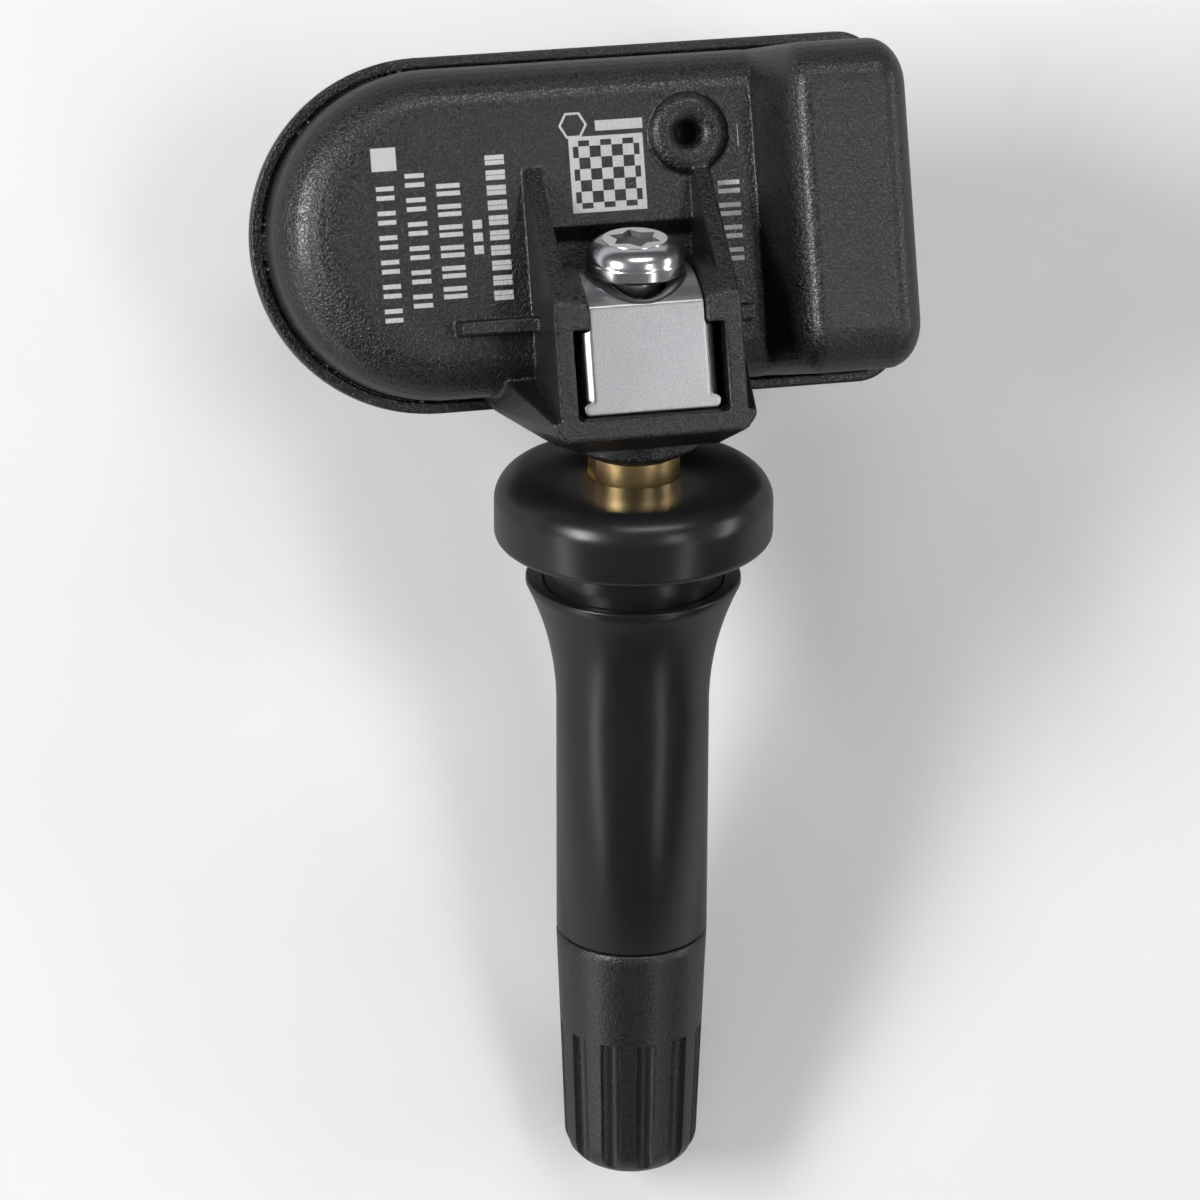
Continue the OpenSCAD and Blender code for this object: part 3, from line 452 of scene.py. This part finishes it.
# Vibro-finished stainless steel: a pale satin grey with a fine pearly grain, 0.125 mm, on the flats
stainless, tree, output = new_material("stainless_vibro_finished")
place = add_node(tree, "ShaderNodeTexCoord")
grain = add_node(tree, "ShaderNodeTexNoise", [("Scale", 8 / MM), ("Detail", 2), ("Roughness", 0.6)],
                 [("Vector", place.outputs["Object"])])
cloud = add_node(tree, "ShaderNodeTexNoise", [("Scale", 0.26 / MM), ("Detail", 3)],
                 [("Vector", place.outputs["Object"])])
tone = add_node(tree, "ShaderNodeMix",
                [("data_type", "RGBA"), (6, linear("#929295")), (7, linear("#c4c4c6"))],
                [(0, grain.outputs["Fac"])])
gloss = add_node(tree, "ShaderNodeMapRange", [("To Min", 0.28), ("To Max", 0.4)],
                 [("Value", cloud.outputs["Fac"])])
bump = add_node(tree, "ShaderNodeBump", [("Strength", 0.6), ("Distance", 0.012 * MM)],
                [("Height", grain.outputs["Fac"])])
shader = add_node(tree, "ShaderNodeBsdfPrincipled", [("Metallic", 1)],
                  [("Base Color", tone.outputs[2]), ("Roughness", gloss.outputs["Result"]),
                   ("Normal", bump.outputs["Normal"])])
tree.links.new(shader.outputs[0], output.inputs[0])
clip.data.materials.append(stainless)


# Housing cover
# One injection moulding of black glass-filled nylon with the coil bump, the two cheeks, the drum, the
# pocket floor and the port ring. The mould was spark-eroded, and the face is printed in pale ink.

cover = link_piece("housing_cover_moulded",
                   softened("housing_cover", "housing_cover_moulded", 0.11, 3, 190000),
                   "sensor", "housing_cover", 180)


def moulded_plastic(name, light, dark, rough, grain_mm, height_mm, print_on=False):
    """Moulded black plastic: spark-eroded grain in the bump, with paler crests; printed if asked."""
    made, tree, output = new_material(name)
    place = add_node(tree, "ShaderNodeTexCoord")
    warp = add_node(tree, "ShaderNodeTexNoise", [("Scale", 0.6 / (grain_mm * MM)), ("Detail", 1)],
                    [("Vector", place.outputs["Object"])])
    bend = add_node(tree, "ShaderNodeVectorMath", [("operation", "SCALE"), ("Scale", grain_mm * MM)],
                    [(0, warp.outputs["Color"])])
    moved = add_node(tree, "ShaderNodeVectorMath", [("operation", "ADD")],
                     [(0, place.outputs["Object"]), (1, bend.outputs["Vector"])])
    worms = add_node(tree, "ShaderNodeTexNoise",
                     [("Scale", 1 / (grain_mm * MM)), ("Detail", 2), ("Roughness", 0.55)],
                     [("Vector", moved.outputs["Vector"])])
    crest = add_node(tree, "ShaderNodeMapRange",
                     [("interpolation_type", "SMOOTHSTEP"), ("From Min", 0.4), ("From Max", 0.62)],
                     [("Value", worms.outputs["Fac"])])
    tone = add_node(tree, "ShaderNodeMix",
                    [("data_type", "RGBA"), (6, linear(dark)), (7, linear(light))],
                    [(0, crest.outputs["Result"])])
    gloss = add_node(tree, "ShaderNodeMapRange", [("To Min", rough - 0.05), ("To Max", rough + 0.06)],
                     [("Value", worms.outputs["Fac"])])
    bump = add_node(tree, "ShaderNodeBump", [("Strength", 0.85), ("Distance", height_mm * MM)],
                    [("Height", crest.outputs["Result"])])
    colour = tone.outputs[2]
    if print_on:
        ink = printed_fields(tree, place.outputs["Object"])
        colour = add_node(tree, "ShaderNodeMix", [("data_type", "RGBA"), (7, linear("#c2c2c0"))],
                          [(0, ink), (6, colour)]).outputs[2]
    shader = add_node(tree, "ShaderNodeBsdfPrincipled", [("IOR", 1.53), ("Specular IOR Level", 0.6)],
                      [("Base Color", colour), ("Roughness", gloss.outputs["Result"]),
                       ("Normal", bump.outputs["Normal"])])
    tree.links.new(shader.outputs[0], output.inputs[0])
    return made


def printed_fields(tree, place):
    """Ink mask in mm for plain pale fields on the flat face: bars cut by gaps, a chequer and a ring."""
    def maths(operation, a, b=0):
        node = add_node(tree, "ShaderNodeMath", [("operation", operation)])
        for slot, value in ((0, a), (1, b)):
            if isinstance(value, (int, float)):
                node.inputs[slot].default_value = value
            else:
                tree.links.new(value, node.inputs[slot])
        return node.outputs[0]

    def off(value, centre):
        return maths("ABSOLUTE", maths("SUBTRACT", value, centre))

    part = add_node(tree, "ShaderNodeSeparateXYZ", links=[("Vector", place)])
    x, y, z = [maths("MULTIPLY", part.outputs[k], 1 / MM) for k in range(3)]

    # Bars: left, right, low, high, pitch of the groups of two strokes, gap between two groups
    bars = [(-17.5, -15.7, 27.1, 28.75, 0, 0), (-17.3, -16.0, 16.3, 26.6, 1.72, 0.42),
            (-15.2, -13.8, 17.2, 27.4, 1.7, 0.42), (-13.0, -11.3, 17.75, 26.45, 1.45, 0.38),
            (-10.6, -9.9, 20.85, 23.55, 0.9, 0.28), (-9.4, -8.0, 17.5, 28.1, 1.06, 0.34),
            (7.3, 8.9, 19.0, 25.4, 1.6, 0.4), (-1.3, 2.15, 28.95, 29.7, 0, 0),
            (8.98, 9.04, 27.2, 28.8, 0, 0)]
    stroke_half = 0.17
    ink = -1.0
    for left, right, low, high, group, gap in bars:
        across = maths("SUBTRACT", (right - left) / 2, off(x, (left + right) / 2))
        along = maths("SUBTRACT", (high - low) / 2, off(y, (low + high) / 2))
        field = maths("MINIMUM", across, along)
        if group:
            half_step = (group - gap) / 4
            place_in = maths("FLOORED_MODULO", maths("SUBTRACT", y, low), group)
            stroke = maths("PINGPONG", maths("ADD", place_in, half_step), half_step)
            field = maths("MINIMUM", field, maths("SUBTRACT", stroke_half, stroke))
            field = maths("MINIMUM", field, maths("SUBTRACT", group - gap, place_in))
        ink = maths("MAXIMUM", ink, field)

    # The chequer: a pale square with dark cells in an even pattern
    square_x, square_y, square_half, cells_half, cell = -0.6, 25.93, 2.7, 2.4, 0.8
    reach = maths("MAXIMUM", off(x, square_x), off(y, square_y))
    column = maths("PINGPONG", maths("SUBTRACT", x, square_x - cell), cell)
    line = maths("PINGPONG", maths("SUBTRACT", y, square_y), cell)
    cells = maths("MULTIPLY", *[maths("SIGN", maths("SUBTRACT", v, cell / 2)) for v in (column, line)])
    dark = maths("MINIMUM", maths("SUBTRACT", cells_half, reach), cells)
    square = maths("MINIMUM", maths("SUBTRACT", square_half, reach), maths("MULTIPLY", dark, -1))
    ink = maths("MAXIMUM", ink, square)

    # A six-sided ring
    ring_x, ring_y, ring_r, ring_half = -2.9, 29.45, 0.82, 0.09
    over, up = off(x, ring_x), off(y, ring_y)
    slant = maths("ADD", maths("MULTIPLY", over, math.sqrt(0.75)), maths("MULTIPLY", up, 0.5))
    ring = maths("SUBTRACT", ring_half, off(maths("MAXIMUM", up, slant), ring_r))
    ink = maths("MAXIMUM", ink, ring)

    # Only the flat face takes ink, and the ink's edge is a little soft
    face_z, face_reach = 3, 0.25
    level = maths("SUBTRACT", face_reach, off(z, face_z))
    edge = add_node(tree, "ShaderNodeMapRange", [("From Min", -0.01), ("From Max", 0.03)],
                    [("Value", maths("MINIMUM", ink, level))])
    return edge.outputs["Result"]


# Glass-filled nylon off a spark-eroded mould: black, with a worm-like grain that greys and breaks its
# highlights. The grain, 0.2 mm, is drawn a little coarser than real.
nylon = moulded_plastic("nylon_spark_eroded", "#1e1e21", "#0b0b0d", 0.31, 0.2, 0.028)
cover.data.materials.append(moulded_plastic("nylon_printed", "#1e1e21", "#0b0b0d", 0.31, 0.2, 0.028, True))


# Base plate
# A flat moulding of the same black nylon that closes the housing at the back. It is welded to the
# cover, and its rounded ledge shows all the way round.

plate = link_piece("base_plate_moulded", softened("base_plate", "base_plate_moulded", 0.09, 2, 80000),
                   "sensor", "base_plate", 180)
plate.data.materials.append(nylon)


# Cap
# A cap of black polypropylene, moulded in one piece and screwed on the stem. It has a plain collar,
# twelve grip grooves and a rounded end.

mouth_at, cap_l, cap_r, cap_end_r, cap_round, mouth_edge = 31.02, 19.2, 5.57, 4.95, 2.6, 0.15
bore_r, bore_end, mouth_r, mouth_end = 3.9, 46.7, 4.27, 33.2
groove_cut_r, groove_depth, groove_from, groove_count = 0.75, 0.55, 38.62, 12
end_at = mouth_at + cap_l
round_at = end_at - cap_round


def cap_taper(station):
    """The radius of the cap's slightly tapered wall at a station."""
    return cap_r + (cap_end_r - cap_r) * (station - mouth_at) / (round_at - mouth_at)


def spread(start, end, steps):
    """Evenly spaced stations from start to end."""
    return [start + (end - start) * i / steps for i in range(steps + 1)]


# Angles in shares of two thirds of the groove's radius, close together at its edges
shares = [0, 0.2, 0.4, 0.6, 0.8, 1.0, 1.15, 1.3, 1.4, 1.47, 1.53, 1.6, 1.68, 1.78, 1.9]
both_sides = sorted({s for s in shares} | {-s for s in shares if s})
pitch = 2 * math.pi / groove_count
unit = groove_cut_r / cap_r / 1.5
around = [(math.pi / 2 + i * pitch + s * unit, s * unit) for i in range(groove_count) for s in both_sides]
count = len(around)

# Stations stand close together where the grooves begin and round the end
stations = spread(mouth_at + mouth_edge, groove_from - 1, 8)
stations += [groove_from + step for step in (-0.3, -0.1, -0.03, 0.03, 0.12)]
stations += spread(groove_from + 0.4, round_at - 0.1, 18)
stations += [round_at + cap_round * math.sin(math.radians(a)) for a in range(3, 90, 3)]

vertices = [valve_point(0, bore_end, 0)]
for radius, station in [(bore_r, bore_end), (bore_r, mouth_end), (mouth_r, mouth_end),
                        (mouth_r, mouth_at), (cap_r - mouth_edge, mouth_at)]:
    vertices += [valve_point(radius, station, angle) for angle, shift in around]
for station in stations:
    if station <= round_at:
        plain = cap_taper(station)
    else:
        plain = cap_end_r - cap_round + math.sqrt(max(cap_round ** 2 - (station - round_at) ** 2, 0))
    centre_r = cap_taper(station) - groove_depth + groove_cut_r
    for angle, shift in around:
        reach = groove_cut_r ** 2 - (plain * math.sin(shift)) ** 2 if station > groove_from else 0
        cut = centre_r - math.sqrt(reach) if reach > 0 else plain
        vertices.append(valve_point(min(plain, cut), station, angle))
tip = len(vertices)
vertices.append(valve_point(0, end_at, 0))

rings = [range(first, first + count) for first in range(1, tip, count)]
faces = []
for k in range(count):
    m = (k + 1) % count
    faces.append((0, rings[0][m], rings[0][k]))
    for near, far in zip(rings, rings[1:]):
        faces.append((near[k], near[m], far[m], far[k]))
    faces.append((rings[-1][k], rings[-1][m], tip))
cap = link_piece("cap_moulded", closed_mesh("cap_moulded", vertices, faces), "cap", "valve_cap", 50)

# Fine-grained polypropylene: black, with a shallower grain than the housing's and a duller gloss
polypropylene = moulded_plastic("polypropylene_fine_grain", "#1e1e21", "#131316", 0.34, 0.18, 0.015)
cap.data.materials.append(polypropylene)


# Inner pieces
# The parts that the housing and the stem hide: board, cell, coil, chip and seals, each with the
# finish that it is bought with.

def plain_finish(name, light, dark, rough, spot_mm, metallic=0):
    """A finish with a fine mottle of two tones."""
    made, tree, output = new_material(name)
    place = add_node(tree, "ShaderNodeTexCoord")
    spots = add_node(tree, "ShaderNodeTexNoise", [("Scale", 1 / (spot_mm * MM)), ("Detail", 3)],
                     [("Vector", place.outputs["Object"])])
    tone = add_node(tree, "ShaderNodeMix",
                    [("data_type", "RGBA"), (6, linear(dark)), (7, linear(light))],
                    [(0, spots.outputs["Fac"])])
    gloss = add_node(tree, "ShaderNodeMapRange", [("To Min", rough - 0.05), ("To Max", rough + 0.05)],
                     [("Value", spots.outputs["Fac"])])
    shader = add_node(tree, "ShaderNodeBsdfPrincipled", [("Metallic", metallic)],
                      [("Base Color", tone.outputs[2]), ("Roughness", gloss.outputs["Result"])])
    tree.links.new(shader.outputs[0], output.inputs[0])
    return made


# Glossy green solder mask, bright plated metals, and matt rubber, ferrite and ceramic
dress(["circuit_board"], plain_finish("solder_mask_green", "#2c7040", "#22603a", 0.3, 0.8))
dress(["coin_cell"], plain_finish("nickel_plated_can", "#cfd0d2", "#b8b9bc", 0.28, 1.5, 1))
dress(["cell_tab_top", "cell_tab_bottom"], plain_finish("nickel_strip", "#d2cfc6", "#bdbab2", 0.33, 0.6, 1))
dress(["pressure_chip"], plain_finish("epoxy_mould_compound", "#29292d", "#1f1f22", 0.5, 0.15))
dress(["chip_legs", "crystal_can"], plain_finish("tin_plate", "#dcdde0", "#c6c7ca", 0.22, 0.5, 1))
dress(["port_seal", "cap_seal", "core_cup_seal"],
      plain_finish("nitrile_rubber", "#26262a", "#1c1c1f", 0.55, 0.2))
dress(["core_gasket"], plain_finish("ptfe", "#eeebe3", "#dedbd2", 0.4, 0.4))
dress(["core_spring"], plain_finish("spring_wire", "#c6c8cc", "#a9abb0", 0.3, 0.2, 1))
dress(["coil_core"], plain_finish("ferrite", "#3a3734", "#2b2927", 0.6, 0.2))
dress(["coil_winding"], plain_finish("enamelled_copper", "#b8693c", "#99502a", 0.3, 0.12, 1))
dress(["rf_antenna"], plain_finish("brass_strip", "#d3ad63", "#b78f46", 0.3, 0.5, 1))
dress(["small_parts"], plain_finish("chip_ceramic", "#a08a68", "#857152", 0.5, 0.3))
